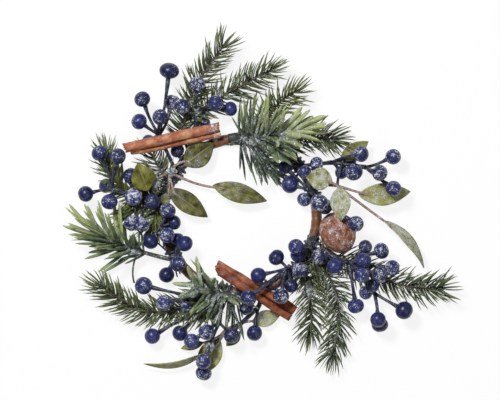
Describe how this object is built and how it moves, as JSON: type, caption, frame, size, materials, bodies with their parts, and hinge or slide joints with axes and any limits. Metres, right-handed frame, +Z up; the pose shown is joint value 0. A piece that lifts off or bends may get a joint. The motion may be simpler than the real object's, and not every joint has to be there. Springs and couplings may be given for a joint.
{
  "type": "candle ring",
  "caption": "Candle ring: a wrapped wire hoop that lies flat, dressed with wired berry sprays, conifer sprigs, leaves, rolled cinnamon sticks and a nut.",
  "frame": {"origin": "centre of the hoop, at the level of the table that it rests on", "axes": "+Z up from the table, +Y towards the side with the long upper cinnamon stick, +X to the right of that as seen from above"},
  "size_m": [0.249, 0.2292, 0.0336],
  "materials": {
    "steel_wire": "drawn wire",
    "hoop_wrap": "wound, matte",
    "binding_tape": "waxed, matte",
    "glue": "cloudy",
    "cinnamon_bark": "dry bark",
    "nut_shell": "dry shell with frost",
    "berry_wire": "lacquered wrap over wire",
    "berry_skin": "lacquered, partly frosted",
    "leaf_wire": "wrapped wire",
    "leaf_blade": "waxed cloth, partly frosted",
    "pine_needle": "moulded, partly frosted",
    "fir_needle": "moulded, partly frosted"
  },
  "bodies": {
    "root": {"berries_bottom": "berry_skin", "berries_inner_left": "berry_skin", "berries_inner_right": "berry_skin", "berries_left": "berry_skin", "berries_left_inner": "berry_skin", "berries_lower_left": "berry_skin", "berries_lower_right": "berry_skin", "berries_right": "berry_skin", "berries_top": "berry_skin", "berries_top_left": "berry_skin", "berry_stem_bottom": "berry_wire", "berry_stem_inner_left": "berry_wire", "berry_stem_inner_right": "berry_wire", "berry_stem_left": "berry_wire", "berry_stem_left_inner": "berry_wire", "berry_stem_lower_left": "berry_wire", "berry_stem_lower_right": "berry_wire", "berry_stem_right": "berry_wire", "berry_stem_top": "berry_wire", "berry_stem_top_left": "berry_wire", "binding_tapes": "binding_tape", "cinnamon_stick_bottom": "cinnamon_bark", "cinnamon_stick_top": "cinnamon_bark", "fir_sprig_bottom": "fir_needle", "fir_sprig_left": "fir_needle", "fir_sprig_top": "fir_needle", "glue_pads": "glue", "hoop_wire": "steel_wire", "hoop_wrap": "hoop_wrap", "leaf_bottom_edge": "leaf_blade", "leaf_bottom_right": "leaf_blade", "leaf_bottom_small": "leaf_blade", "leaf_bottom_tucked": "leaf_blade", "leaf_bottom_wide": "leaf_blade", "leaf_left_long": "leaf_blade", "leaf_left_lower": "leaf_blade", "leaf_left_round": "leaf_blade", "leaf_left_small": "leaf_blade", "leaf_left_upper": "leaf_blade", "leaf_right_down": "leaf_blade", "leaf_right_edge": "leaf_blade", "leaf_right_inner": "leaf_blade", "leaf_right_long": "leaf_blade", "leaf_right_upper": "leaf_blade", "leaf_stem_bottom": "leaf_wire", "leaf_stem_left": "leaf_wire", "leaf_stem_right": "leaf_wire", "pine_sprig_bottom": "pine_needle", "pine_sprig_bottom_short": "pine_needle", "pine_sprig_inner_left": "pine_needle", "pine_sprig_left": "pine_needle", "pine_sprig_lower_left": "pine_needle", "pine_sprig_right_lower": "pine_needle", "pine_sprig_right_upper": "pine_needle", "pine_sprig_top": "pine_needle", "pine_sprig_upper_right": "pine_needle", "walnut": "nut_shell"}
  },
  "joints": []
}
